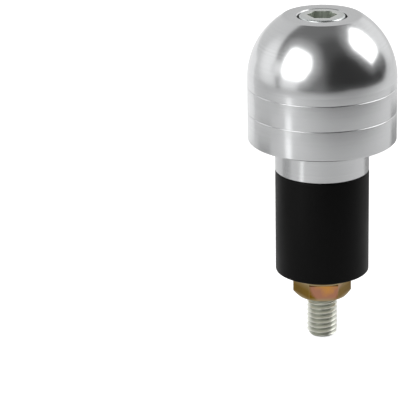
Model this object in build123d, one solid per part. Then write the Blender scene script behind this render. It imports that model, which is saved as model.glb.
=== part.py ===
from build123d import *
import os
from math import sqrt, tan, radians

# Bar end weight for a motorcycle handlebar. A domed aluminium weight carries an M6 screw,
# whose nut and washer squeeze a rubber bush until it grips the bore of the bar.
# Millimetres. +Z runs along the bar's axis, out of the bar. The origin is the centre of the
# shoulder that butts on the bar's end.

# Turned weight
CROWN_DIA = 29.0
SIDE_HEIGHT = 12.4
TOP_FACE_DIA = 15.3
GROOVE_HEIGHTS = (5.9, 10.95)
GROOVE_WIDTH = 0.2
GROOVE_DEPTH = 0.1
EDGE_BREAK = 0.25
COUNTERBORE_MOUTH = 0.2

# Plug that enters the bar: the neck of the weight and the bush share its diameter
PLUG_DIA = 18.4
NECK_LENGTH = 6.4
BUSH_LENGTH = 20.8

# M6 socket head screw
SCREW_DIA = 6.0
HEAD_DIA = 9.0
HEAD_HEIGHT = 6.0
HEAD_EDGE = 0.35
HEAD_PROUD = 0.15
SOCKET_ACROSS_FLATS = 5.0
SOCKET_DEPTH = 3.0
DRILL_POINT_ANGLE = 118.0
TIP_CHAMFER = 0.65
THREAD_STANDOUT = 8.65

# Washer and nut
WASHER_DIA = 12.0
WASHER_THICKNESS = 1.6
NUT_ACROSS_FLATS = 10.0
NUT_HEIGHT = 3.7
NUT_FACE_DIA = 9.6
NUT_CHAMFER_ANGLE = 30.0
NUT_TURN = 3.65
NUT_COUNTERSINK = 0.35

# Clearances, each on the radius
HEAD_CLEARANCE = 0.3
SHANK_CLEARANCE = 0.3
WASHER_CLEARANCE = 0.2
THREAD_CLEARANCE = 0.05

# Heights that follow from the sizes above
CROWN_RADIUS = CROWN_DIA / 2
TOP_FACE_Z = SIDE_HEIGHT + sqrt(CROWN_RADIUS**2 - (TOP_FACE_DIA / 2) ** 2)
HEAD_TOP_Z = TOP_FACE_Z + HEAD_PROUD
SEAT_Z = HEAD_TOP_Z - HEAD_HEIGHT
NECK_END_Z = -NECK_LENGTH
BUSH_END_Z = NECK_END_Z - BUSH_LENGTH
WASHER_END_Z = BUSH_END_Z - WASHER_THICKNESS
NUT_END_Z = WASHER_END_Z - NUT_HEIGHT
TIP_Z = NUT_END_Z - THREAD_STANDOUT

COUNTERBORE_RADIUS = HEAD_DIA / 2 + HEAD_CLEARANCE
SHANK_HOLE_RADIUS = SCREW_DIA / 2 + SHANK_CLEARANCE


def turned(*outline):
    """Solid of revolution about Z from lines and arcs drawn as radius and height."""
    return revolve(Plane.XZ * make_face(outline), Axis.Z)


def rod(radius, low, high):
    """Upright cylinder on the axis between two heights."""
    return Pos(0, 0, low) * Cylinder(radius, high - low, align=(Align.CENTER, Align.CENTER, Align.MIN))


def hex_prism(across_flats, low, high):
    """Upright hexagonal bar with two corners on the X axis."""
    hexagon = RegularPolygon(across_flats / 2, 6, major_radius=False)
    return Pos(0, 0, low) * extrude(hexagon, high - low)


def rim(solid, radius, height):
    """Circular edges of one radius at one height."""
    circles = solid.edges().filter_by(GeomType.CIRCLE)
    return circles.filter_by(lambda e: abs(e.radius - radius) < 1e-4 and abs(e.center().Z - height) < 1e-4)


def side_groove(height):
    """Ring with the V section of a groove in the crown's side."""
    half = GROOVE_WIDTH / 2
    floor = CROWN_RADIUS - GROOVE_DEPTH
    mouth = CROWN_RADIUS + GROOVE_DEPTH
    slope = half * (mouth - floor) / GROOVE_DEPTH
    outline = Polyline((floor, height), (mouth, height + slope), (mouth, height - slope), close=True)
    return turned(*outline.edges())


def end_weight():
    """Domed weight with its neck, turned in one piece and drilled for the screw."""
    plug = PLUG_DIA / 2
    top = TOP_FACE_DIA / 2
    base = Polyline((0, TOP_FACE_Z), (0, NECK_END_Z), (plug, NECK_END_Z), (plug, 0), (CROWN_RADIUS, 0),
                    (CROWN_RADIUS, SIDE_HEIGHT))
    dome = RadiusArc((CROWN_RADIUS, SIDE_HEIGHT), (top, TOP_FACE_Z), -CROWN_RADIUS)
    flat = Line((top, TOP_FACE_Z), (0, TOP_FACE_Z))
    weight = turned(*base.edges(), *dome.edges(), *flat.edges())
    for height in GROOVE_HEIGHTS:
        weight -= side_groove(height)
    weight -= rod(SHANK_HOLE_RADIUS, NECK_END_Z, SEAT_Z)
    weight -= rod(COUNTERBORE_RADIUS, SEAT_Z, TOP_FACE_Z)
    weight = chamfer(rim(weight, CROWN_RADIUS, 0) + rim(weight, plug, NECK_END_Z), EDGE_BREAK)
    return chamfer(rim(weight, COUNTERBORE_RADIUS, TOP_FACE_Z), COUNTERBORE_MOUTH)


def screw_socket():
    """Hexagonal socket with the drill point at its foot."""
    foot = HEAD_TOP_Z - SOCKET_DEPTH
    bore = SOCKET_ACROSS_FLATS / 2
    point = bore / tan(radians(DRILL_POINT_ANGLE / 2))
    drill = Polyline((0, foot), (bore, foot), (0, foot - point), close=True)
    return hex_prism(SOCKET_ACROSS_FLATS, foot, HEAD_TOP_Z) + turned(*drill.edges())


def socket_screw():
    """M6 socket head screw that runs through the weight, the bush and the nut."""
    head = rod(HEAD_DIA / 2, SEAT_Z, HEAD_TOP_Z)
    head = chamfer(rim(head, HEAD_DIA / 2, HEAD_TOP_Z), HEAD_EDGE)
    shank = rod(SCREW_DIA / 2, TIP_Z, SEAT_Z)
    shank = chamfer(rim(shank, SCREW_DIA / 2, TIP_Z), TIP_CHAMFER)
    return head + shank - screw_socket()


def expander_bush():
    """Rubber bush between the neck and the washer, cut square from tube."""
    return rod(PLUG_DIA / 2, BUSH_END_Z, NECK_END_Z) - rod(SHANK_HOLE_RADIUS, BUSH_END_Z, NECK_END_Z)


def load_washer():
    """Plain washer that spreads the nut's push over the rubber."""
    hole = SCREW_DIA / 2 + WASHER_CLEARANCE
    return rod(WASHER_DIA / 2, WASHER_END_Z, BUSH_END_Z) - rod(hole, WASHER_END_Z, BUSH_END_Z)


def draw_nut():
    """Hexagon nut chamfered on its free face, turned as it sits on the screw."""
    bore = SCREW_DIA / 2 + THREAD_CLEARANCE
    face = NUT_FACE_DIA / 2
    corner = NUT_ACROSS_FLATS / sqrt(3)
    drop = (corner - face) * tan(radians(NUT_CHAMFER_ANGLE))
    blank = Polyline((0, NUT_END_Z), (face, NUT_END_Z), (corner, NUT_END_Z + drop), (corner, WASHER_END_Z),
                     (0, WASHER_END_Z), close=True)
    nut = hex_prism(NUT_ACROSS_FLATS, NUT_END_Z, WASHER_END_Z) & turned(*blank.edges())
    nut -= rod(bore, NUT_END_Z, WASHER_END_Z)
    mouths = rim(nut, bore, NUT_END_Z) + rim(nut, bore, WASHER_END_Z)
    return Rot(0, 0, NUT_TURN) * chamfer(mouths, NUT_COUNTERSINK)


PIECES = (end_weight, socket_screw, expander_bush, load_washer, draw_nut)

os.makedirs("parts", exist_ok=True)
for piece in PIECES:
    export_step(piece(), f"parts/{piece.__name__}.step")
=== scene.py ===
import math
from collections import namedtuple

import bmesh
import bpy
from bpy.props import FloatProperty, FloatVectorProperty, PointerProperty
from mathutils import Matrix, Vector


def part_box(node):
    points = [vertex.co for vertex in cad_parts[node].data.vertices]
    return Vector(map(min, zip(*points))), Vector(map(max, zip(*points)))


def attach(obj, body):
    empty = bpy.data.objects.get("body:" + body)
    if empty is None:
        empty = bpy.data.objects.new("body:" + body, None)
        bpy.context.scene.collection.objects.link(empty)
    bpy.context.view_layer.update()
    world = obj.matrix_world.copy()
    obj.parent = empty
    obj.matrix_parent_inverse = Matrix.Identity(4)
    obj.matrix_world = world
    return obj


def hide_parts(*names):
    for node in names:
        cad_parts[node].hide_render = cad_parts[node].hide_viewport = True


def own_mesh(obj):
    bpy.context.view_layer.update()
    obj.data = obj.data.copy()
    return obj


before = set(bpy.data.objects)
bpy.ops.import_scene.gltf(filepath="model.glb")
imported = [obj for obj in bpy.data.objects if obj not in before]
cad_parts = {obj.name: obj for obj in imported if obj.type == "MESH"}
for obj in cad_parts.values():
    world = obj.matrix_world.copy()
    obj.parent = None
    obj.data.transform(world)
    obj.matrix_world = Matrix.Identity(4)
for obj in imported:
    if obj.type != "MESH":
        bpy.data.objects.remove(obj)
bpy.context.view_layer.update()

bl_info = {
    "name": "Bar end weight",
    "version": (1, 0, 0),
    "blender": (4, 5, 0),
    "location": "3D View > Sidebar > Bar end",
    "description": "Builds a motorcycle bar end weight with its screw, rubber bush, washer and nut",
    "category": "Add Mesh",
}

# Lengths are metres, as in the frame. Z runs along the bar, and the shoulder lies at height zero.
MM = 0.001
UM = 0.000001

WEIGHT_LOW, WEIGHT_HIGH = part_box("end_weight")
SCREW_LOW, SCREW_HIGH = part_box("socket_screw")
BUSH_LOW, BUSH_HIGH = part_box("expander_bush")
WASHER_LOW, WASHER_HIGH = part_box("load_washer")
NUT_LOW, NUT_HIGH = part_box("draw_nut")

# Facets: a multiple of twelve puts one on every corner and flat of a hexagon
SEGMENTS = 192
ROUNDING_STEP = 0.08 * MM
ROUNDING_LEAST = 3
DOME_STEPS = 48
CONE_STEPS = 10
MERGE_DISTANCE = 1 * UM
SLIVER = MERGE_DISTANCE / 10
SHARP_ANGLE = math.radians(35)
FLAT_TO_CORNER = 2 / math.sqrt(3)
SIXTH_TURN = math.tau / 6

# How a ring of an outline meets the hexagon: kept inside it, free of it, or kept outside it
INSIDE, FREE, OUTSIDE = -1.0, 0.0, 1.0
Corner = namedtuple("Corner", "radius height rounding hexagon", defaults=(0.0, FREE))


def linear(hex_colour):
    """Linear red, green and blue of an sRGB hex colour."""
    channels = [int(hex_colour[place:place + 2], 16) / 255 for place in (1, 3, 5)]
    return tuple(c / 12.92 if c <= 0.04045 else ((c + 0.055) / 1.055) ** 2.4 for c in channels)


def opaque(shade, gain=1.0):
    """A linear colour with its alpha, made darker or lighter by a gain."""
    return tuple(gain * channel for channel in shade) + (1.0,)


def length(name, description, default):
    """A size that a user may change, in metres."""
    return FloatProperty(name=name, description=description, default=default, min=0.0,
                         precision=5, subtype="DISTANCE", unit="LENGTH")


def colour(name, description, hex_colour):
    """A colour that a user may change."""
    return FloatVectorProperty(name=name, description=description, default=linear(hex_colour),
                               size=3, min=0.0, max=1.0, subtype="COLOR")


class BAREND_PG_weight(bpy.types.PropertyGroup):
    """Sizes and colour of the turned weight"""
    crown_radius: length("Crown radius", "Radius of the dome and of the side below it", WEIGHT_HIGH.x)
    plug_radius: length("Plug radius", "Radius of the neck that enters the bar", BUSH_HIGH.x)
    side_height: length("Side height", "Height of the straight side above the shoulder", 12.4 * MM)
    top_face_radius: length("Top face radius", "Radius of the flat on top of the dome", 7.65 * MM)
    lower_groove: length("Lower groove", "Height of the lower groove above the shoulder", 5.9 * MM)
    upper_groove: length("Upper groove", "Height of the upper groove above the shoulder", 10.95 * MM)
    groove_depth: length("Groove depth", "Depth of the V grooves, and half their width", 0.1 * MM)
    counterbore_radius: length("Counterbore radius", "Radius of the bore for the screw's head", 4.8 * MM)
    counterbore_mouth: length("Counterbore mouth", "Chamfer round the mouth of the counterbore", 0.2 * MM)
    hole_radius: length("Hole radius", "Radius of the hole for the screw's shank", 3.3 * MM)
    edge_break: length("Edge break", "Chamfer on the turned edges", 0.25 * MM)
    edge_rounding: length("Edge rounding", "Radius left on the turned edges by polishing", 0.06 * MM)
    metal: colour("Aluminium", "Colour of the turned aluminium", "#DEDFE0")


class BAREND_PG_screw(bpy.types.PropertyGroup):
    """Sizes of the socket head screw, and the colours of its plating"""
    head_radius: length("Head radius", "Radius of the screw's head", SCREW_HIGH.x)
    head_height: length("Head height", "Height of the screw's head", 6.0 * MM)
    head_edge: length("Head edge", "Radius round the top of the head", 0.5 * MM)
    socket_across_flats: length("Socket across flats", "Width of the hexagon socket", 5.0 * MM)
    socket_depth: length("Socket depth", "Depth of the socket's flats", 3.0 * MM)
    thread_radius: length("Thread radius", "Radius over the thread's crests", 3.0 * MM)
    thread_pitch: length("Thread pitch", "Distance between two turns of the thread", 1.0 * MM)
    thread_depth: length("Thread depth", "Height of the thread from root to crest", 0.58 * MM)
    thread_length: length("Thread length", "Length of the thread from the tip", 24.0 * MM)
    tip_chamfer: length("Tip chamfer", "Chamfer at the tip of the screw", 0.65 * MM)
    plating: colour("Zinc plating", "Colour of the bright plating on the screw's head", "#D6DADA")
    thread_plating: colour("Thread plating", "Colour of the duller plating on the thread", "#FAFBF2")
    # Painted shade: the thread's roots and the socket's floor are drawn in this darker colour; its greener
    # tone is the plating's
    shaded_hollow_plating: colour("Shaded hollow plating", "Colour of the plating down in the thread", "#B0B2A6")
    # Painted shade: the socket's walls are drawn darker than the head's plating; their green tint is the
    # plating's
    shaded_socket_plating: colour("Shaded socket plating", "Colour of the plating on the socket's flats", "#C2C8BE")


class BAREND_PG_bush(bpy.types.PropertyGroup):
    """Sizes and colour of the rubber bush"""
    radius: length("Radius", "Radius of the rubber bush", BUSH_HIGH.x)
    hole_radius: length("Hole radius", "Radius of the bush's hole", 3.3 * MM)
    edge_rounding: length("Edge rounding", "Radius on the bush's edges", 0.25 * MM)
    rubber: colour("Rubber", "Colour of the rubber", "#080808")


class BAREND_PG_nut(bpy.types.PropertyGroup):
    """Sizes of the nut and the washer, and the colours of their chromate films"""
    across_flats: length("Across flats", "Width of the nut over its flats", 10.0 * MM)
    face_radius: length("Face radius", "Radius of the flat inside the nut's chamfer", 4.8 * MM)
    bore_radius: length("Bore radius", "Radius of the nut's bore", 3.05 * MM)
    countersink: length("Countersink", "Chamfer at both ends of the nut's bore", 0.35 * MM)
    edge_rounding: length("Edge rounding", "Softness of the edges of nut and washer", 0.05 * MM)
    washer_radius: length("Washer radius", "Radius of the washer", WASHER_HIGH.x)
    washer_hole_radius: length("Washer hole radius", "Radius of the washer's hole", 3.2 * MM)
    turn: FloatProperty(name="Turn", description="How far the nut is turned on the screw",
                        default=math.radians(3.65), subtype="ANGLE", unit="ROTATION")
    gold: colour("Gold film", "Colour of the nut's chromate where its film is thickest", "#E8A656")
    rose: colour("Rose film", "Colour of the nut's chromate beside the gold", "#C88C70")
    olive: colour("Olive film", "Colour of the nut's chromate where its film is thinnest", "#8C6A0E")
    washer: colour("Washer film", "Colour of the washer's paler chromate", "#BEAB85")


class BAREND_PG_stage(bpy.types.PropertyGroup):
    """Place of the camera and of the floor"""
    camera_distance: length("Camera distance", "From the camera to the shoulder's centre", 459 * MM)
    camera_height: FloatProperty(name="Camera height", description="Angle of the camera above the horizon",
                                 default=math.radians(18.717), subtype="ANGLE", unit="ROTATION")
    floor_drop: length("Floor drop", "Gap between the screw's tip and the floor", 0.2 * MM)
    floor_colour: colour("Floor", "Colour of the pale floor", "#C8C8C8")


class BAREND_PG_settings(bpy.types.PropertyGroup):
    """All that a user may change"""
    weight: PointerProperty(type=BAREND_PG_weight)
    screw: PointerProperty(type=BAREND_PG_screw)
    bush: PointerProperty(type=BAREND_PG_bush)
    nut: PointerProperty(type=BAREND_PG_nut)
    stage: PointerProperty(type=BAREND_PG_stage)


MATH = "ShaderNodeMath"


def add_node(tree, kind, inputs=(), output=0, **settings):
    """Adds a node with its settings, sets or links its inputs, and returns one of its outputs."""
    node = tree.nodes.new(kind)
    for name, value in settings.items():
        setattr(node, name, value)
    for key, value in inputs.items() if isinstance(inputs, dict) else enumerate(inputs):
        if isinstance(value, bpy.types.NodeSocket):
            tree.links.new(value, node.inputs[key])
        else:
            node.inputs[key].default_value = value
    return node.outputs[output] if node.outputs else None


def new_form_tree(name, sizes):
    """A geometry tree that takes a profile, whole or decimal sizes and a material."""
    tree = bpy.data.node_groups.new(name, "GeometryNodeTree")
    tree.interface.new_socket("Profile", in_out="INPUT", socket_type="NodeSocketGeometry")
    for size, kind in sizes.items():
        tree.interface.new_socket(size, in_out="INPUT", socket_type=kind)
    tree.interface.new_socket("Material", in_out="INPUT", socket_type="NodeSocketMaterial")
    tree.interface.new_socket("Form", in_out="OUTPUT", socket_type="NodeSocketGeometry")
    return tree, add_node(tree, "NodeGroupInput").node.outputs


def end_form_tree(tree, given, form):
    """Closes a form's seams and gives it its material."""
    merged = add_node(tree, "GeometryNodeMergeByDistance", {"Geometry": form, "Distance": MERGE_DISTANCE})
    real = add_node(tree, "GeometryNodeRealizeInstances", {"Geometry": merged})
    dressed = add_node(tree, "GeometryNodeSetMaterial", {"Geometry": real, "Material": given["Material"]})
    add_node(tree, "NodeGroupOutput", {"Form": dressed})
    return tree


def swept_grid(tree, profile, segments, steps):
    """A grid with a row for each point of the profile, and its radius, height, point and turns about Z."""
    points = add_node(tree, "GeometryNodeAttributeDomainSize", {"Geometry": profile}, output="Point Count")
    columns = add_node(tree, "FunctionNodeIntegerMath", {0: steps, 1: 1}, operation="ADD")
    grid = add_node(tree, "GeometryNodeMeshGrid", {"Vertices X": points, "Vertices Y": columns})
    index = add_node(tree, "GeometryNodeInputIndex")
    point = add_node(tree, "FunctionNodeIntegerMath", {0: index, 1: columns}, operation="DIVIDE_FLOOR")
    step = add_node(tree, "FunctionNodeIntegerMath", {0: index, 1: columns}, operation="MODULO")
    turns = add_node(tree, MATH, (step, segments), operation="DIVIDE")
    place = add_node(tree, "GeometryNodeInputPosition")
    spot = add_node(tree, "GeometryNodeSampleIndex", data_type="FLOAT_VECTOR",
                    inputs={"Geometry": profile, "Value": place, "Index": point})
    parts = add_node(tree, "ShaderNodeSeparateXYZ", {"Vector": spot}).node.outputs
    return grid, parts["X"], parts["Z"], point, turns


def wrapped_round(tree, grid, radius, height, turns):
    """Sets a grid's points at their radius, height and number of turns about Z."""
    angle = add_node(tree, MATH, (turns, math.tau), operation="MULTIPLY")
    across = add_node(tree, MATH, (angle,), operation="COSINE")
    ahead = add_node(tree, MATH, (angle,), operation="SINE")
    x = add_node(tree, MATH, (radius, across), operation="MULTIPLY")
    y = add_node(tree, MATH, (radius, ahead), operation="MULTIPLY")
    place = add_node(tree, "ShaderNodeCombineXYZ", {"X": x, "Y": y, "Z": height})
    return add_node(tree, "GeometryNodeSetPosition", {"Geometry": grid, "Position": place})


def turned_form_tree():
    """Turns a profile about Z. Rings that carry a hexagon mark stay inside or outside a hexagon."""
    tree, given = new_form_tree("turned form", {
        "Segments": "NodeSocketInt", "Across flats": "NodeSocketFloat", "Softness": "NodeSocketFloat"})
    profile = given["Profile"]
    grid, radius, height, point, turns = swept_grid(tree, profile, given["Segments"], given["Segments"])
    mark = add_node(tree, "GeometryNodeInputNamedAttribute", {"Name": "hexagon"}, data_type="FLOAT")
    held = add_node(tree, "GeometryNodeSampleIndex", {"Geometry": profile, "Value": mark, "Index": point},
                    data_type="FLOAT")
    angle = add_node(tree, MATH, (turns, math.tau), operation="MULTIPLY")
    sixth = add_node(tree, MATH, (angle, SIXTH_TURN, 0.0), operation="WRAP")
    off_flat = add_node(tree, MATH, (sixth, SIXTH_TURN / 2), operation="SUBTRACT")
    slant = add_node(tree, MATH, (off_flat,), operation="COSINE")
    flat = add_node(tree, MATH, (given["Across flats"], 2.0), operation="DIVIDE")
    hexagon = add_node(tree, MATH, (flat, slant), operation="DIVIDE")
    within = add_node(tree, MATH, (radius, hexagon, given["Softness"]), operation="SMOOTH_MIN")
    beyond = add_node(tree, MATH, (radius, hexagon, given["Softness"]), operation="SMOOTH_MAX")
    is_within = add_node(tree, MATH, (held, INSIDE / 2), operation="LESS_THAN")
    is_beyond = add_node(tree, MATH, (held, OUTSIDE / 2), operation="GREATER_THAN")
    radius = add_node(tree, "GeometryNodeSwitch", {"Switch": is_within, "False": radius, "True": within},
                      input_type="FLOAT")
    radius = add_node(tree, "GeometryNodeSwitch", {"Switch": is_beyond, "False": radius, "True": beyond},
                      input_type="FLOAT")
    return end_form_tree(tree, given, wrapped_round(tree, grid, radius, height, turns))


def threaded_end_tree():
    """Winds one pitch of a thread's profile from the tip to its run-out, where it grows into the shank."""
    tree, given = new_form_tree("threaded end", {
        "Segments": "NodeSocketInt", "Turns": "NodeSocketInt", "Pitch": "NodeSocketFloat",
        "Crest radius": "NodeSocketFloat", "Tip radius": "NodeSocketFloat",
        "Tip height": "NodeSocketFloat", "Run-out height": "NodeSocketFloat"})
    steps = add_node(tree, "FunctionNodeIntegerMath", {0: given["Segments"], 1: given["Turns"]},
                     operation="MULTIPLY")
    grid, radius, height, _, turns = swept_grid(tree, given["Profile"], given["Segments"], steps)
    start = add_node(tree, MATH, (given["Tip height"], given["Pitch"]), operation="SUBTRACT")
    climb = add_node(tree, MATH, (turns, given["Pitch"], start), operation="MULTIPLY_ADD")
    level = add_node(tree, MATH, (height, climb), operation="ADD")
    height = add_node(tree, "ShaderNodeClamp", {
        "Value": level, "Min": given["Tip height"], "Max": given["Run-out height"]})
    to_run_out = add_node(tree, MATH, (given["Run-out height"], height), operation="SUBTRACT")
    shallow = add_node(tree, MATH, (given["Crest radius"], to_run_out), operation="SUBTRACT")
    above_tip = add_node(tree, MATH, (height, given["Tip height"]), operation="SUBTRACT")
    cone = add_node(tree, MATH, (given["Tip radius"], above_tip), operation="ADD")
    filled = add_node(tree, MATH, (radius, shallow), operation="MAXIMUM")
    radius = add_node(tree, MATH, (filled, cone), operation="MINIMUM")
    thread = wrapped_round(tree, grid, radius, height, turns)
    disc = add_node(tree, "GeometryNodeMeshCircle", fill_type="NGON",
                    inputs={"Vertices": given["Segments"], "Radius": given["Tip radius"]})
    drop = add_node(tree, "ShaderNodeCombineXYZ", {"Z": given["Tip height"]})
    tip = add_node(tree, "GeometryNodeTransform", {"Geometry": disc, "Translation": drop})
    both = add_node(tree, "GeometryNodeJoinGeometry", {"Geometry": thread})
    tree.links.new(tip, both.node.inputs["Geometry"])
    return end_form_tree(tree, given, both)


def rounded_off(before, corner, after):
    """Points of the short arc that rounds off one corner of an outline."""
    here = Vector((corner.radius, corner.height))
    back = (Vector((before.radius, before.height)) - here).normalized()
    ahead = (Vector((after.radius, after.height)) - here).normalized()
    bend = math.pi - back.angle(ahead)
    centre = here + (back + ahead).normalized() * corner.rounding / math.cos(bend / 2)
    spoke = here + back * corner.rounding * math.tan(bend / 2) - centre
    steps = max(ROUNDING_LEAST, math.ceil(corner.rounding / ROUNDING_STEP))
    side = math.copysign(bend / steps, ahead.cross(back))
    return [centre + Matrix.Rotation(side * step, 2) @ spoke for step in range(steps + 1)]


def outline_mesh(name, corners, closed):
    """A chain of points with the outline's radius on X, its height on Z and its hexagon marks."""
    spots = []
    marks = []
    for place, corner in enumerate(corners):
        arc = [Vector((corner.radius, corner.height))]
        if corner.rounding > 0:
            arc = rounded_off(corners[place - 1], corner, corners[(place + 1) % len(corners)])
        spots += [(spot.x, 0.0, spot.y) for spot in arc]
        marks += [corner.hexagon] * len(arc)
    if closed:
        spots.append(spots[0])
        marks.append(marks[0])
    mesh = bpy.data.meshes.new(name)
    mesh.from_pydata(spots, [(place, place + 1) for place in range(len(spots) - 1)], [])
    mesh.attributes.new("hexagon", "FLOAT", "POINT").data.foreach_set("value", marks)
    return mesh


def grown_mesh(tree, profile, sizes):
    """Runs a form's tree on a profile and returns the plain mesh."""
    seed = bpy.data.objects.new(profile.name, profile)
    bpy.context.scene.collection.objects.link(seed)
    modifier = seed.modifiers.new(tree.name, "NODES")
    modifier.node_group = tree
    for item in tree.interface.items_tree:
        if item.name in sizes:
            modifier[item.identifier] = sizes[item.name]
    evaluated = seed.evaluated_get(bpy.context.evaluated_depsgraph_get())
    mesh = bpy.data.meshes.new_from_object(evaluated)
    seed.modifiers.remove(modifier)
    bpy.data.objects.remove(seed)
    return mesh


def turned_mesh(name, corners, material, across_flats=1.0, softness=0.0, closed=True):
    """The mesh of a turned piece, from its outline. Only rings with a hexagon mark heed the flats."""
    sizes = {"Segments": SEGMENTS, "Across flats": across_flats, "Softness": softness, "Material": material}
    tree = bpy.data.node_groups.get("turned form") or turned_form_tree()
    return grown_mesh(tree, outline_mesh(name, corners, closed), sizes)


def add_piece(name, meshes, node, body, turn=0.0):
    """Joins meshes into one closed piece that stands for a CAD node and moves with its body."""
    joined = bmesh.new()
    for mesh in meshes:
        joined.from_mesh(mesh)
    bmesh.ops.remove_doubles(joined, verts=joined.verts, dist=MERGE_DISTANCE)
    bmesh.ops.dissolve_degenerate(joined, dist=SLIVER, edges=joined.edges)
    bmesh.ops.rotate(joined, verts=joined.verts, matrix=Matrix.Rotation(turn, 3, "Z"))
    bmesh.ops.recalc_face_normals(joined, faces=joined.faces)
    if any(not edge.is_manifold for edge in joined.edges):
        raise RuntimeError(f"{name} has an open seam")
    for face in joined.faces:
        face.material_index = 0
    result = bpy.data.meshes.new(name)
    joined.to_mesh(result)
    joined.free()
    result.materials.append(meshes[0].materials[-1])
    result.shade_smooth()
    result.set_sharp_from_angle(angle=SHARP_ANGLE)
    piece = bpy.data.objects.new(name, result)
    bpy.context.scene.collection.objects.link(piece)
    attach(piece, body)
    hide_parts(node)
    return piece


def new_material(name):
    """An empty node material, its tree, and the object coordinates that its patterns use."""
    material = bpy.data.materials.new(name)
    material.use_nodes = True
    tree = material.node_tree
    tree.nodes.clear()
    return material, tree, add_node(tree, "ShaderNodeTexCoord", output="Object")


def from_axis(tree, place):
    """Distance from the Z axis."""
    flat = add_node(tree, "ShaderNodeVectorMath", {0: place, 1: (1, 1, 0)}, operation="MULTIPLY")
    return add_node(tree, "ShaderNodeVectorMath", {0: flat}, output="Value", operation="LENGTH")


# Noise textures keep mostly between these values
NOISE_LOW, NOISE_HIGH = 0.3, 0.7

# Turning marks are a tenth of a millimetre apart: drawn five times coarser, so that they show
TURNING_MARK = 0.5 * MM
HANDLING_PATCH = 7 * MM
MARKS_SHARE, HANDLING_SHARE = 0.6, 0.4
TURNED_DARK, TURNED_LIGHT = 0.9, 1.05
# A quarter turn draws the reflections out across the marks
ACROSS_MARKS = 0.25
Turned = namedtuple("Turned", "name gain smooth rough stretch depth")
SIDE, DOME, SHADED_BORE = range(3)
WEIGHT_FINISHES = (
    Turned("fine turned aluminium", gain=1.0, smooth=0.225, rough=0.245, stretch=0.65, depth=0.02 * UM),
    Turned("satin polished aluminium", gain=1.0, smooth=0.165, rough=0.195, stretch=0.1, depth=0.04 * UM),
    # The bore's aluminium is rougher, as a bored surface, and darkened to three tenths: painted shade down
    # in the counterbore
    Turned("bored aluminium in painted shade", gain=0.3, smooth=0.4, rough=0.5, stretch=0.3, depth=0.4 * UM),
)


def turned_aluminium(metal, finish):
    """Bare turned aluminium: a cool silver whose reflections are drawn out across the turning marks."""
    material, tree, place = new_material(finish.name)
    height = add_node(tree, "ShaderNodeSeparateXYZ", {0: place}, output="Z")
    along = add_node(tree, MATH, (height, from_axis(tree, place)), operation="SUBTRACT")
    marks = add_node(tree, "ShaderNodeTexNoise", {"W": along, "Scale": 1 / TURNING_MARK, "Detail": 1.0},
                     noise_dimensions="1D")
    patches = add_node(tree, "ShaderNodeTexNoise", {"Vector": place, "Scale": 1 / HANDLING_PATCH})
    marked = add_node(tree, MATH, (marks, MARKS_SHARE), operation="MULTIPLY")
    mixed = add_node(tree, MATH, (patches, HANDLING_SHARE, marked), operation="MULTIPLY_ADD")
    roughness = add_node(tree, "ShaderNodeMapRange", {
        "Value": mixed, "From Min": NOISE_LOW, "From Max": NOISE_HIGH,
        "To Min": finish.smooth, "To Max": finish.rough})
    shade = add_node(tree, "ShaderNodeMix", data_type="RGBA", output="Result", inputs={
        "Factor": mixed, "A": opaque(metal, finish.gain * TURNED_DARK),
        "B": opaque(metal, finish.gain * TURNED_LIGHT)})
    bump = add_node(tree, "ShaderNodeBump", {"Height": marks, "Distance": finish.depth})
    tangent = add_node(tree, "ShaderNodeTangent", direction_type="RADIAL", axis="Z")
    surface = add_node(tree, "ShaderNodeBsdfPrincipled", {
        "Base Color": shade, "Metallic": 1.0, "Roughness": roughness, "Normal": bump,
        "Anisotropic": finish.stretch, "Anisotropic Rotation": ACROSS_MARKS, "Tangent": tangent})
    add_node(tree, "ShaderNodeOutputMaterial", {"Surface": surface})
    return material


GRAIN = 0.35 * MM
GRAIN_DEPTH = 5 * UM
BLOOM_PATCH = 5 * MM
# Carbon black soaks up the light that a clear polymer would throw back
RUBBER_SPECULAR = 0.1
RUBBER_SMOOTH, RUBBER_ROUGH = 0.36, 0.46
BLOOM_DARK, BLOOM_LIGHT = 0.8, 1.2


def black_moulded_rubber(settings):
    """Carbon black rubber with a fine grain: nearly black, with a soft sheen where it turns away."""
    material, tree, place = new_material("black moulded rubber")
    grain = add_node(tree, "ShaderNodeTexNoise", {"Vector": place, "Scale": 1 / GRAIN, "Detail": 4.0})
    bloom = add_node(tree, "ShaderNodeTexNoise", {"Vector": place, "Scale": 1 / BLOOM_PATCH, "Detail": 3.0})
    roughness = add_node(tree, "ShaderNodeMapRange", {
        "Value": bloom, "From Min": NOISE_LOW, "From Max": NOISE_HIGH,
        "To Min": RUBBER_SMOOTH, "To Max": RUBBER_ROUGH})
    shade = add_node(tree, "ShaderNodeMix", data_type="RGBA", output="Result", inputs={
        "Factor": bloom, "A": opaque(settings.rubber, BLOOM_DARK),
        "B": opaque(settings.rubber, BLOOM_LIGHT)})
    bump = add_node(tree, "ShaderNodeBump", {"Height": grain, "Distance": GRAIN_DEPTH})
    surface = add_node(tree, "ShaderNodeBsdfPrincipled", {
        "Base Color": shade, "Roughness": roughness, "Normal": bump, "Specular IOR Level": RUBBER_SPECULAR})
    add_node(tree, "ShaderNodeOutputMaterial", {"Surface": surface})
    return material


PLATING_PATCH = 1.6 * MM
# The radius and colour of the hollows and of the land outside them, and the least and most roughness
Plating = namedtuple("Plating", "hollow hollow_shade land land_shade smooth rough")
BRIGHT, DULL, PUNCHED = range(3)


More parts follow.
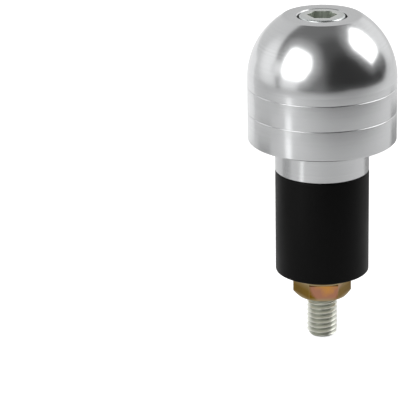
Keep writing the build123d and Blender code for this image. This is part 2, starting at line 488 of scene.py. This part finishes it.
def zinc_plating(name, finish):
    """Zinc over steel, clear passivated: a cool silver, of another tone in the hollows nearer the axis.
    Where the hollows are darker, in the thread's roots and in the socket, that is painted shade.
    """
    material, tree, place = new_material(name)
    rise = add_node(tree, "ShaderNodeMapRange", {
        "Value": from_axis(tree, place), "From Min": finish.hollow, "From Max": finish.land})
    shade = add_node(tree, "ShaderNodeMix", data_type="RGBA", output="Result", inputs={
        "Factor": rise, "A": opaque(finish.hollow_shade), "B": opaque(finish.land_shade)})
    patches = add_node(tree, "ShaderNodeTexNoise", {
        "Vector": place, "Scale": 1 / PLATING_PATCH, "Detail": 3.0})
    roughness = add_node(tree, "ShaderNodeMapRange", {
        "Value": patches, "From Min": NOISE_LOW, "From Max": NOISE_HIGH,
        "To Min": finish.smooth, "To Max": finish.rough})
    surface = add_node(tree, "ShaderNodeBsdfPrincipled", {
        "Base Color": shade, "Metallic": 1.0, "Roughness": roughness})
    add_node(tree, "ShaderNodeOutputMaterial", {"Surface": surface})
    return material


# The film's patches, one drift of its thickness there and back, and where on X it is thickest
CHROMATE_PATCH = 2 * MM
CHROMATE_DRIFT = 16 * MM
THICKEST_AT = 0.7 * MM
# Heights of the bands that are paler at the foot and at the top of the sides, and of the dark painted shadow
# line at the top of the front, under the piece above
PALE_FOOT_EDGE = 1.1 * MM
PALE_TOP_EDGE = 1.3 * MM
SHADOW_LINE_EDGE = 0.3 * MM
# The film's thickness, from 0 to 1: its mean, its drift across the piece and its patches, and how much
# it changes on the sides, where a thinner, darker film is painted shade, at the foot, and at the top
FILM_MEAN, FILM_DRIFT, FILM_PATCHES = 0.3, 0.5, 0.45
PAINTED_SIDE_SHADE, FILM_AT_FOOT, FILM_AT_TOP = -0.15, -0.34, 0.04
# Where the corners beside a hexagon's front flat lie to the side, and the half widths of their change of
# colour and of their painted highlight, as shares of the distance from the axis
CORNER_REACH = 0.5
CORNER_EDGE = 0.01
CORNER_HIGHLIGHT_HALF_WIDTH = 0.012
# How much paler the tops of the side facets are, and how strong the painted highlight on the corners is
PALE_TOP_SHARE, CORNER_HIGHLIGHT_SHARE = 0.5, 0.3
CHROMATE_SMOOTH, CHROMATE_ROUGH = 0.28, 0.36
# Colour of the dark painted shadow line under the piece above
PAINTED_SHADOW_COLOUR = linear("#5A4312")


def yellow_chromate_zinc(name, film, pale_colour, low, shadow_line_height, turn=0.0):
    """Zinc with a yellow chromate film, whose colour drifts with its thickness from side to side.
    The side facets past the corners beside the front and back flats get a thinner, darker film: painted
    shade.
    Those corners carry a pale painted highlight, the lower edge and the sides' upper edge are paler, and a
    dark painted shadow line lies along the front under the piece above."""
    material, tree, place = new_material(name)
    spot = add_node(tree, "ShaderNodeSeparateXYZ", {0: place}).node.outputs
    reach = add_node(tree, "ShaderNodeVectorMath", {0: place, 1: (math.cos(turn), math.sin(turn), 0.0)},
                     output="Value", operation="DOT_PRODUCT")
    share = add_node(tree, MATH, (reach, from_axis(tree, place)), operation="DIVIDE")
    sideways = add_node(tree, MATH, (share,), operation="ABSOLUTE")
    on_side = add_node(tree, "ShaderNodeMapRange", {
        "Value": sideways, "From Min": CORNER_REACH - CORNER_EDGE, "From Max": CORNER_REACH + CORNER_EDGE})
    on_corner = add_node(tree, MATH, (sideways, CORNER_REACH, CORNER_HIGHLIGHT_HALF_WIDTH), operation="COMPARE")
    on_front = add_node(tree, MATH, (1.0, on_side), operation="SUBTRACT")
    across = add_node(tree, MATH, (spot["X"], THICKEST_AT), operation="SUBTRACT")
    turned = add_node(tree, MATH, (across, math.tau / CHROMATE_DRIFT), operation="MULTIPLY")
    wave = add_node(tree, MATH, (turned,), operation="COSINE")
    patches = add_node(tree, "ShaderNodeTexNoise", {
        "Vector": place, "Scale": 1 / CHROMATE_PATCH, "Detail": 3.0})
    drift = add_node(tree, MATH, (wave, FILM_DRIFT, FILM_MEAN), operation="MULTIPLY_ADD")
    level = add_node(tree, MATH, (patches, FILM_PATCHES, drift), operation="MULTIPLY_ADD")
    upward = add_node(tree, "ShaderNodeMapRange", {
        "Value": spot["Z"], "From Min": low, "From Max": shadow_line_height,
        "To Min": FILM_AT_FOOT, "To Max": FILM_AT_TOP})
    in_front = add_node(tree, MATH, (level, upward), operation="ADD")
    # The side facets get a thinner, darker film here: painted shade on the sides
    thickness = add_node(tree, MATH, (on_side, PAINTED_SIDE_SHADE, in_front), operation="MULTIPLY_ADD")
    ramp = add_node(tree, "ShaderNodeValToRGB", {"Fac": thickness}).node
    stops = ramp.color_ramp.elements
    for level_of_stop, _ in film[1:-1]:
        stops.new(level_of_stop)
    for stop, (level_of_stop, shade) in zip(stops, film):
        stop.position = level_of_stop
        stop.color = shade
    # The foot and the tops of the side facets are drawn paler
    pale_foot = add_node(tree, "ShaderNodeMapRange", interpolation_type="SMOOTHSTEP", inputs={
        "Value": spot["Z"], "From Min": low + PALE_FOOT_EDGE, "From Max": low})
    pale_side_tops = add_node(tree, "ShaderNodeMapRange", {
        "Value": spot["Z"], "From Min": shadow_line_height - PALE_TOP_EDGE, "From Max": shadow_line_height, "To Max": PALE_TOP_SHARE})
    # A painted highlight along the corners beside the front and back flats, added to the paler foot
    highlight_and_pale_foot = add_node(tree, MATH, (on_corner, CORNER_HIGHLIGHT_SHARE, pale_foot), operation="MULTIPLY_ADD")
    paled = add_node(tree, MATH, (pale_side_tops, on_side, highlight_and_pale_foot), operation="MULTIPLY_ADD", use_clamp=True)
    paled_film = add_node(tree, "ShaderNodeMix", data_type="RGBA", output="Result", inputs={
        "Factor": paled, "A": ramp.outputs["Color"], "B": opaque(pale_colour)})
    # A dark painted shadow line along the top of the front flats, under the piece above
    shadow_line = add_node(tree, "ShaderNodeMapRange", interpolation_type="SMOOTHSTEP", inputs={
        "Value": spot["Z"], "From Min": shadow_line_height - SHADOW_LINE_EDGE, "From Max": shadow_line_height})
    painted_shadow = add_node(tree, MATH, (shadow_line, on_front), operation="MULTIPLY")
    shadowed_film = add_node(tree, "ShaderNodeMix", data_type="RGBA", output="Result", inputs={
        "Factor": painted_shadow, "A": paled_film, "B": opaque(PAINTED_SHADOW_COLOUR)})
    roughness = add_node(tree, "ShaderNodeMapRange", {
        "Value": patches, "From Min": NOISE_LOW, "From Max": NOISE_HIGH,
        "To Min": CHROMATE_SMOOTH, "To Max": CHROMATE_ROUGH})
    surface = add_node(tree, "ShaderNodeBsdfPrincipled", {
        "Base Color": shadowed_film, "Metallic": 1.0, "Roughness": roughness})
    add_node(tree, "ShaderNodeOutputMaterial", {"Surface": surface})
    return material


def groove_corners(height, settings):
    """The V of one groove in the crown's side."""
    side, depth, soft = settings.crown_radius, settings.groove_depth, settings.edge_rounding
    return [Corner(side, height - depth, soft), Corner(side - depth, height, soft / 2),
            Corner(side, height + depth, soft)]


def weight_corners(settings):
    """Outline of the weight, up its outside and down its bore."""
    crown, plug, hole = settings.crown_radius, settings.plug_radius, settings.hole_radius
    soft, broken = settings.edge_rounding, settings.edge_break
    bore, mouth = settings.counterbore_radius, settings.counterbore_mouth
    bottom, top = WEIGHT_LOW.z, WEIGHT_HIGH.z
    seat = SCREW_HIGH.z - bpy.context.scene.bar_end.screw.head_height
    dome_end = math.acos(settings.top_face_radius / crown)
    dome = [Corner(crown * math.cos(dome_end * step / DOME_STEPS),
                   settings.side_height + crown * math.sin(dome_end * step / DOME_STEPS))
            for step in range(DOME_STEPS)]
    return [
        Corner(hole, bottom), Corner(plug - broken, bottom, soft), Corner(plug, bottom + broken, soft),
        Corner(plug, 0.0, soft), Corner(crown - broken, 0.0, soft), Corner(crown, broken, soft),
        *groove_corners(settings.lower_groove, settings), *groove_corners(settings.upper_groove, settings),
        *dome, Corner(settings.top_face_radius, top, soft),
        Corner(bore + mouth, top, soft), Corner(bore, top - mouth, soft),
        Corner(bore, seat, soft), Corner(hole, seat, soft),
    ]


class BAREND_OT_weight(bpy.types.Operator):
    """Turn the domed aluminium weight with its neck, grooves and bores"""
    bl_idname = "bar_end.weight"
    bl_label = "End weight"

    def execute(self, context):
        settings = context.scene.bar_end.weight
        materials = [turned_aluminium(settings.metal, finish) for finish in WEIGHT_FINISHES]
        mesh = turned_mesh("weight outline", weight_corners(settings), materials[SIDE])
        weight = add_piece("turned_weight", [mesh], "end_weight", "weight")
        weight.data.materials.append(materials[DOME])
        weight.data.materials.append(materials[SHADED_BORE])
        for face in weight.data.polygons:
            if face.center.to_2d().length < settings.counterbore_radius:
                face.material_index = SHADED_BORE
            elif face.center.z > settings.side_height:
                face.material_index = DOME
        return {"FINISHED"}


DRILL_POINT_HALF_ANGLE = math.radians(59)
HEAD_ROUNDING = 0.08 * MM
SOCKET_SOFTNESS = 0.06 * MM
SOCKET_EDGE = 0.05 * MM


def screw_corners(settings):
    """Outline of the screw from the foot of its socket, over the head and down to the thread."""
    top = SCREW_HIGH.z
    seat = top - settings.head_height
    foot = top - settings.socket_depth
    flat = settings.socket_across_flats / 2
    point = foot - flat / math.tan(DRILL_POINT_HALF_ANGLE)
    head, thread = settings.head_radius, settings.thread_radius
    return [
        Corner(0.0, point), Corner(flat, foot), Corner(flat, foot, 0.0, OUTSIDE),
        Corner(flat, top - SOCKET_EDGE, 0.0, OUTSIDE), Corner(flat + SOCKET_EDGE, top, 0.0, OUTSIDE),
        Corner(head, top, settings.head_edge), Corner(head, seat, HEAD_ROUNDING),
        Corner(thread, seat), Corner(thread, SCREW_LOW.z + settings.thread_length),
    ]


# Shares of the pitch and of the depth along one turn of a rolled thread, from root to root
THREAD_PROFILE = ((0.0, 0.0), (0.06, 0.0), (0.12, 0.08), (0.27, 0.5), (0.39, 0.88), (0.45, 1.0),
                  (0.55, 1.0), (0.61, 0.88), (0.73, 0.5), (0.88, 0.08), (0.94, 0.0), (1.0, 0.0))


def thread_mesh(settings, material):
    """The threaded end, from the tip's chamfer up to the run-out."""
    root = settings.thread_radius - settings.thread_depth
    corners = [Corner(root + settings.thread_depth * rise, settings.thread_pitch * share)
               for share, rise in THREAD_PROFILE]
    sizes = {"Segments": SEGMENTS, "Turns": math.ceil(settings.thread_length / settings.thread_pitch) + 1,
             "Pitch": settings.thread_pitch, "Crest radius": settings.thread_radius,
             "Tip radius": settings.thread_radius - settings.tip_chamfer, "Tip height": SCREW_LOW.z,
             "Run-out height": SCREW_LOW.z + settings.thread_length, "Material": material}
    return grown_mesh(threaded_end_tree(), outline_mesh("thread outline", corners, closed=False), sizes)


def screw_platings(settings):
    """The plating of the head, of the thread and of the socket."""
    root = settings.thread_radius - settings.thread_depth
    bright = Plating(hollow=0.0, hollow_shade=settings.thread_plating, land=settings.head_radius,
                     land_shade=settings.plating, smooth=0.2, rough=0.3)
    # The thread darkens from crest to root: painted shade in its hollows
    dull = Plating(hollow=root, hollow_shade=settings.shaded_hollow_plating, land=settings.thread_radius,
                   land_shade=settings.thread_plating, smooth=0.28, rough=0.36)
    # The socket is drawn darker than the head, and darker still towards its floor: painted shade; it is
    # rougher, as punched
    flat = settings.socket_across_flats / 2
    punched = Plating(hollow=0.0, hollow_shade=settings.shaded_hollow_plating, land=flat,
                      land_shade=settings.shaded_socket_plating, smooth=0.62, rough=0.7)
    return [zinc_plating("bright zinc plating", bright), zinc_plating("dull zinc plating", dull),
            zinc_plating("punched zinc plating in painted shade", punched)]


class BAREND_OT_screw(bpy.types.Operator):
    """Make the socket head screw with its rolled thread"""
    bl_idname = "bar_end.screw"
    bl_label = "Socket screw"

    def execute(self, context):
        settings = context.scene.bar_end.screw
        materials = screw_platings(settings)
        head = turned_mesh("screw outline", screw_corners(settings), materials[BRIGHT],
                           settings.socket_across_flats, SOCKET_SOFTNESS, closed=False)
        thread = thread_mesh(settings, materials[DULL])
        screw = add_piece("socket_head_screw", [head, thread], "socket_screw", "screw")
        screw.data.materials.append(materials[DULL])
        screw.data.materials.append(materials[PUNCHED])
        for face in screw.data.polygons:
            in_head = face.center.z > SCREW_HIGH.z - settings.head_height
            in_socket = in_head and face.center.to_2d().length < settings.thread_radius
            if face.center.z < SCREW_HIGH.z - settings.head_edge:
                face.material_index = PUNCHED if in_socket else DULL
        return {"FINISHED"}


class BAREND_OT_bush(bpy.types.Operator):
    """Make the rubber bush, which shortens as the nut is drawn up"""
    bl_idname = "bar_end.bush"
    bl_label = "Rubber bush"

    def execute(self, context):
        settings = context.scene.bar_end.bush
        soft = settings.edge_rounding
        low, high = BUSH_LOW.z, BUSH_HIGH.z
        corners = [Corner(settings.hole_radius, low), Corner(settings.radius, low, soft),
                   Corner(settings.radius, high, soft), Corner(settings.hole_radius, high)]
        mesh = turned_mesh("bush outline", corners, black_moulded_rubber(settings))
        bush = add_piece("rubber_bush", [mesh], "expander_bush", "weight")
        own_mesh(bush)
        return {"FINISHED"}


NUT_CHAMFER_ANGLE = math.radians(30)
# How high the washer's rim and the nut's flats stay unshaded, below the painted shadow line under the piece
# above
WASHER_UNSHADED = 0.4 * MM
NUT_UNSHADED = 3.42 * MM
# Gain of the washer's pale film and of the nut's olive film where they are thinnest
PALE_THIN, OLIVE_THIN = 0.85, 0.8


def nut_corners(settings):
    """Outline of the nut: the chamfer cone of its free face stays inside the hexagon."""
    low, high, bore, sink = NUT_LOW.z, NUT_HIGH.z, settings.bore_radius, settings.countersink
    flat = settings.across_flats / 2
    face, corner = settings.face_radius, flat * FLAT_TO_CORNER
    cut = corner - face
    cone = [(face + cut * step / CONE_STEPS, cut * math.tan(NUT_CHAMFER_ANGLE) * step / CONE_STEPS)
            for step in range(CONE_STEPS + 1)]
    return [
        Corner(bore, low + sink), Corner(bore + sink, low),
        *[Corner(radius, low + rise, 0.0, INSIDE) for radius, rise in cone],
        Corner(corner, high, 0.0, INSIDE), Corner(bore + sink, high), Corner(bore, high - sink),
    ]


def washer_corners(settings):
    """Outline of the plain washer."""
    hole, radius, soft = settings.washer_hole_radius, settings.washer_radius, settings.edge_rounding
    return [Corner(hole, WASHER_LOW.z, soft), Corner(radius, WASHER_LOW.z, soft),
            Corner(radius, WASHER_HIGH.z, soft), Corner(hole, WASHER_HIGH.z, soft)]


class BAREND_OT_washer_and_nut(bpy.types.Operator):
    """Make the washer and the hexagon nut that draw the bush up"""
    bl_idname = "bar_end.washer_and_nut"
    bl_label = "Washer and nut"

    def execute(self, context):
        settings = context.scene.bar_end.nut
        washer_film = ((0.3, opaque(settings.washer, PALE_THIN)), (0.9, opaque(settings.washer)))
        olive, rose, gold = opaque(settings.olive), opaque(settings.rose), opaque(settings.gold)
        nut_film = ((0.0, opaque(settings.olive, OLIVE_THIN)), (0.3, olive), (0.5, olive),
                    (0.7, rose), (0.8, rose), (1.0, gold))
        # The washer's colour also paints the paler foot, the paler side tops and the painted corner
        # highlight; the upper height is that of the dark painted shadow line under the piece above
        pale = yellow_chromate_zinc("pale chromated zinc", washer_film, settings.washer, WASHER_LOW.z,
                                    WASHER_LOW.z + WASHER_UNSHADED)
        yellow = yellow_chromate_zinc("yellow chromated zinc", nut_film, settings.washer, NUT_LOW.z,
                                      NUT_LOW.z + NUT_UNSHADED, settings.turn)
        washer = turned_mesh("washer outline", washer_corners(settings), pale)
        nut = turned_mesh("nut outline", nut_corners(settings), yellow, settings.across_flats,
                          settings.edge_rounding)
        add_piece("steel_washer", [washer], "load_washer", "nut")
        add_piece("hexagon_nut", [nut], "draw_nut", "nut", settings.turn)
        return {"FINISHED"}


# The picture is 400 pixels square, with the shoulder's centre at this pixel
PICTURE = 400
SHOULDER_PIXEL = (322.1, 137.81)
FOCAL_PIXELS = 2353.3
SENSOR = 36.0
CLIP_START = 10 * MM


def camera_turn(height):
    """Rotation that puts the shoulder at its pixel with the part's axis upright in the picture."""
    middle = PICTURE / 2
    seen = Vector((SHOULDER_PIXEL[0] - middle, middle - SHOULDER_PIXEL[1], -FOCAL_PIXELS)).normalized()
    across = Vector((-seen.z, 0.0, seen.x)).normalized()
    in_picture = Matrix((across, seen, across.cross(seen))).transposed()
    gaze = Vector((0.0, math.cos(height), -math.sin(height)))
    right = Vector((1.0, 0.0, 0.0))
    in_frame = Matrix((right, gaze, right.cross(gaze))).transposed()
    return in_frame @ in_picture.transposed()


def add_camera(settings):
    """The camera at the photograph's angle."""
    lens = bpy.data.cameras.new("camera")
    lens.sensor_width = SENSOR
    lens.lens = SENSOR * FOCAL_PIXELS / PICTURE
    lens.clip_start = CLIP_START
    camera = bpy.data.objects.new("camera", lens)
    height = settings.camera_height
    spot = settings.camera_distance * Vector((0.0, -math.cos(height), math.sin(height)))
    camera.matrix_world = Matrix.Translation(spot) @ camera_turn(height).to_4x4()
    bpy.context.scene.collection.objects.link(camera)
    bpy.context.scene.camera = camera


# Width of the floor in metres, and the light that makes it white to the camera
FLOOR_REACH = 0.78
FLOOR_WHITE = 0.78
# The paper behind the part and to its right is brighter in the metal than the paper in front
BRIGHT_WAY = (0.34, 0.94, 0.0)
FLOOR_FRONT, FLOOR_BACK = -80 * MM, 100 * MM
FLOOR_BACK_GLOW = 0.26
# It darkens away from the lamps, in front to the right
SHADED_WAY = (0.82, -0.57, 0.0)
SHADE_START, SHADE_END = 130 * MM, 205 * MM
SHADE = 0.75
# The left softbox leaves a sheen on it
SHEEN_SPOT = (-106 * MM, -106 * MM)
SHEEN_REACH = 160 * MM
SHEEN = 0.25


def add_floor(settings):
    """A pale floor just under the tip. The camera sees it as white paper that still takes a shadow."""
    height = SCREW_LOW.z - settings.floor_drop
    mesh = bpy.data.meshes.new("floor")
    half = FLOOR_REACH / 2
    corners = [(-half, -half, height), (half, -half, height), (half, half, height), (-half, half, height)]
    mesh.from_pydata(corners, [], [(0, 1, 2, 3)])
    material, tree, place = new_material("pale floor")
    depth = add_node(tree, "ShaderNodeVectorMath", {0: place, 1: BRIGHT_WAY}, output="Value",
                     operation="DOT_PRODUCT")
    away = add_node(tree, "ShaderNodeVectorMath", {0: place, 1: SHADED_WAY}, output="Value",
                    operation="DOT_PRODUCT")
    shaded = add_node(tree, "ShaderNodeMapRange", {
        "Value": away, "From Min": SHADE_START, "From Max": SHADE_END})
    shade = add_node(tree, "ShaderNodeMix", data_type="RGBA", output="Result", inputs={
        "Factor": shaded, "A": opaque(settings.floor_colour), "B": opaque(settings.floor_colour, SHADE)})
    paper = add_node(tree, "ShaderNodeBsdfDiffuse", {"Color": shade})
    glow = add_node(tree, "ShaderNodeMapRange", {
        "Value": depth, "From Min": FLOOR_FRONT, "From Max": FLOOR_BACK, "To Max": FLOOR_BACK_GLOW})
    from_spot = add_node(tree, "ShaderNodeVectorMath", {0: place, 1: SHEEN_SPOT + (height,)}, output="Value",
                         operation="DISTANCE")
    sheen = add_node(tree, "ShaderNodeMapRange", interpolation_type="SMOOTHSTEP", inputs={
        "Value": from_spot, "From Min": SHEEN_REACH, "From Max": 0.0, "To Max": SHEEN})
    ray = add_node(tree, "ShaderNodeLightPath").node.outputs
    shine = add_node(tree, MATH, (glow, sheen), operation="ADD")
    mirrored = add_node(tree, MATH, (ray["Is Glossy Ray"], shine), operation="MULTIPLY")
    strength = add_node(tree, MATH, (ray["Is Camera Ray"], FLOOR_WHITE, mirrored), operation="MULTIPLY_ADD")
    white = add_node(tree, "ShaderNodeEmission", {"Strength": strength})
    surface = add_node(tree, "ShaderNodeAddShader", {0: paper, 1: white})
    add_node(tree, "ShaderNodeOutputMaterial", {"Surface": surface})
    mesh.materials.append(material)
    floor = bpy.data.objects.new("floor", mesh)
    bpy.context.scene.collection.objects.link(floor)


def sight(azimuth, elevation):
    """Direction from the part, in degrees. Azimuth 0 is toward the camera, and it grows to the right."""
    turn, lift = math.radians(azimuth), math.radians(elevation)
    return Vector((math.cos(lift) * math.sin(turn), -math.cos(lift) * math.cos(turn), math.sin(lift)))


# A panel's brightness falls from its edge to each ring round it: distance in metres, share of brightness
LEFT_RINGS = ((0.0, 1.0), (0.04, 0.2), (0.75, 0.0))
RIGHT_RINGS = ((0.0, 1.0), (0.04, 0.13), (0.6, 0.0))
CARD_RINGS = ((0.0, 1.0), (0.004, 0.0))
FRONT_RINGS = ((0.0, 1.0), (0.01, 0.0))
# Its corners are directions from the part: azimuth and elevation in degrees
Panel = namedtuple("Panel", "distance brightness rings corners")
PANELS = {
    "left softbox": Panel(1.5, 2.2, LEFT_RINGS, (
        (-72, 46), (-64, 51), (-38, 51), (-25, 48), (-19, 38), (-19, 27), (-28, 12), (-37, 8),
        (-61, 8), (-67, 13), (-71, 30))),
    "right softbox": Panel(1.5, 2.2, RIGHT_RINGS, (
        (73, 44), (79, 54), (90, 56), (116, 56.5), (126, 52), (126, 42), (119, 22), (112, 18),
        (88, 16), (81, 28))),
    "back card": Panel(0.12, 0.97, CARD_RINGS, ((-178, -20), (-123, -20), (-123, 9), (-178, 9))),
    "front card": Panel(0.08, 1.5, FRONT_RINGS, ((-51, -27), (-46, -27), (-45, -11), (-52, -11))),
    "left grey card": Panel(0.08, 0.33, FRONT_RINGS, ((-105, -27), (-85, -27), (-85, -19), (-105, -19))),
    "right grey card": Panel(0.08, 0.36, FRONT_RINGS, ((127, -27), (156, -27), (156, -13), (127, -13))),
}


def add_panel(name, panel):
    """A bright panel with a soft border that only mirroring surfaces see."""
    rays = [sight(*corner) for corner in panel.corners]
    facing = sum(rays, Vector()).normalized()
    edge = [ray * panel.distance / ray.dot(facing) for ray in rays]
    middle = sum(edge, Vector()) / len(edge)
    outward = [(corner - middle).normalized() for corner in edge]
    spots = [corner + way * reach for reach, _ in panel.rings for corner, way in zip(edge, outward)]
    glows = [share for _, share in panel.rings for _ in edge]
    count = len(edge)
    faces = [tuple(range(count))]
    for start in range(0, len(spots) - count, count):
        faces += [(start + place, start + (place + 1) % count, start + count + (place + 1) % count,
                   start + count + place) for place in range(count)]
    mesh = bpy.data.meshes.new(name)
    mesh.from_pydata(spots, [], faces)
    mesh.attributes.new("glow", "FLOAT", "POINT").data.foreach_set("value", glows)
    material, tree, _ = new_material(name)
    glow = add_node(tree, "ShaderNodeAttribute", output="Fac", attribute_name="glow")
    clear = add_node(tree, "ShaderNodeBsdfTransparent")
    light = add_node(tree, "ShaderNodeEmission", {"Strength": panel.brightness})
    surface = add_node(tree, "ShaderNodeMixShader", (glow, clear, light))
    add_node(tree, "ShaderNodeOutputMaterial", {"Surface": surface})
    mesh.materials.append(material)
    screen = bpy.data.objects.new(name, mesh)
    screen.visible_camera = screen.visible_diffuse = screen.visible_shadow = False
    bpy.context.scene.collection.objects.link(screen)


# The softboxes' light on everything that doesn't mirror them, in metres and watts
Lamp = namedtuple("Lamp", "direction distance width power")
LAMPS = {
    "left lamp": Lamp(sight(-48, 34), distance=1.5, width=1.3, power=16.0),
    "right lamp": Lamp(sight(103, 44), distance=1.5, width=1.0, power=9.7),
}


def add_lamp(name, lamp):
    """A square area lamp that faces the part and isn't seen itself."""
    light = bpy.data.lights.new(name, "AREA")
    light.size = lamp.width
    light.energy = lamp.power
    stand = bpy.data.objects.new(name, light)
    stand.location = lamp.direction * lamp.distance
    stand.rotation_euler = lamp.direction.to_track_quat("Z", "Y").to_euler()
    stand.visible_camera = stand.visible_glossy = False
    bpy.context.scene.collection.objects.link(stand)


# The studio behind the panels, laid over a pale paper sweep: direction, inner and outer angle in
# degrees, brightness
PAPER_SWEEP = 0.70
STUDIO_PATCHES = {
    "lit paper": (sight(-95, 18), 3, 32, 1.05),
    "right paper": (sight(142, 14), 5, 24, 0.92),
    "paper behind": (sight(180, 17), 4, 22, 0.61),
    "dim room": (sight(14.4, 26.3), 88, 92, 0.19),
    "lamp glow": (sight(-52, 0), 6, 20, 0.75),
    "lamp edge": (sight(-80, 14), 3, 13, 0.8),
    "dark ceiling": (sight(28, 52), 8, 34, 0.085),
    "camera corner": (sight(42, 10), 24, 46, 0.035),
    "dark side": (sight(85, 0), 16, 32, 0.035),
    "dark end": (sight(111, 6), 5, 13, 0.1),
}


def add_studio():
    """Light from all round, white to the camera and a plain studio to everything else."""
    world = bpy.data.worlds.new("studio")
    world.use_nodes = True
    tree = world.node_tree
    tree.nodes.clear()
    towards = add_node(tree, "ShaderNodeTexCoord", output="Generated")
    studio = PAPER_SWEEP
    for direction, inner, outer, brightness in STUDIO_PATCHES.values():
        facing = add_node(tree, "ShaderNodeVectorMath", {0: towards, 1: direction}, output="Value",
                          operation="DOT_PRODUCT")
        share = add_node(tree, "ShaderNodeMapRange", interpolation_type="SMOOTHSTEP", inputs={
            "Value": facing, "From Min": math.cos(math.radians(outer)),
            "From Max": math.cos(math.radians(inner))})
        studio = add_node(tree, "ShaderNodeMix", {"Factor": share, "A": studio, "B": brightness},
                          data_type="FLOAT", output="Result")
    camera_ray = add_node(tree, "ShaderNodeLightPath", output="Is Camera Ray")
    strength = add_node(tree, "ShaderNodeMix", {"Factor": camera_ray, "A": studio, "B": 1.0},
                        data_type="FLOAT", output="Result")
    light = add_node(tree, "ShaderNodeBackground", {"Color": (1, 1, 1, 1), "Strength": strength})
    add_node(tree, "ShaderNodeOutputWorld", {"Surface": light})
    bpy.context.scene.world = world


class BAREND_OT_stage(bpy.types.Operator):
    """Set up the pale floor, the studio light and the camera"""
    bl_idname = "bar_end.stage"
    bl_label = "Stage"

    def execute(self, context):
        settings = context.scene.bar_end.stage
        add_floor(settings)
        add_studio()
        for name, panel in PANELS.items():
            add_panel(name, panel)
        for name, lamp in LAMPS.items():
            add_lamp(name, lamp)
        add_camera(settings)
        context.scene.view_settings.view_transform = "Standard"
        return {"FINISHED"}


OPERATORS = (BAREND_OT_weight, BAREND_OT_screw, BAREND_OT_bush, BAREND_OT_washer_and_nut, BAREND_OT_stage)


class BAREND_PT_panel(bpy.types.Panel):
    """Lists each piece's sizes and colours with the operator that makes it"""
    bl_label = "Bar end weight"
    bl_idname = "BAREND_PT_panel"
    bl_space_type = "VIEW_3D"
    bl_region_type = "UI"
    bl_category = "Bar end"

    def draw(self, context):
        for part, operator in zip(("weight", "screw", "bush", "nut", "stage"), OPERATORS):
            box = self.layout.box()
            group = getattr(context.scene.bar_end, part)
            for name in group.__annotations__:
                box.prop(group, name)
            box.operator(operator.bl_idname)


CLASSES = (BAREND_PG_weight, BAREND_PG_screw, BAREND_PG_bush, BAREND_PG_nut, BAREND_PG_stage,
           BAREND_PG_settings, *OPERATORS, BAREND_PT_panel)


def register():
    """Adds the classes, and the settings to the scene."""
    for cls in CLASSES:
        bpy.utils.register_class(cls)
    bpy.types.Scene.bar_end = PointerProperty(type=BAREND_PG_settings)


def unregister():
    """Takes the settings and the classes away again."""
    del bpy.types.Scene.bar_end
    for cls in reversed(CLASSES):
        bpy.utils.unregister_class(cls)


def main():
    """Builds the stage and every piece."""
    register()
    bpy.ops.bar_end.stage()
    bpy.ops.bar_end.weight()
    bpy.ops.bar_end.screw()
    bpy.ops.bar_end.bush()
    bpy.ops.bar_end.washer_and_nut()


if __name__ == "__main__":
    main()
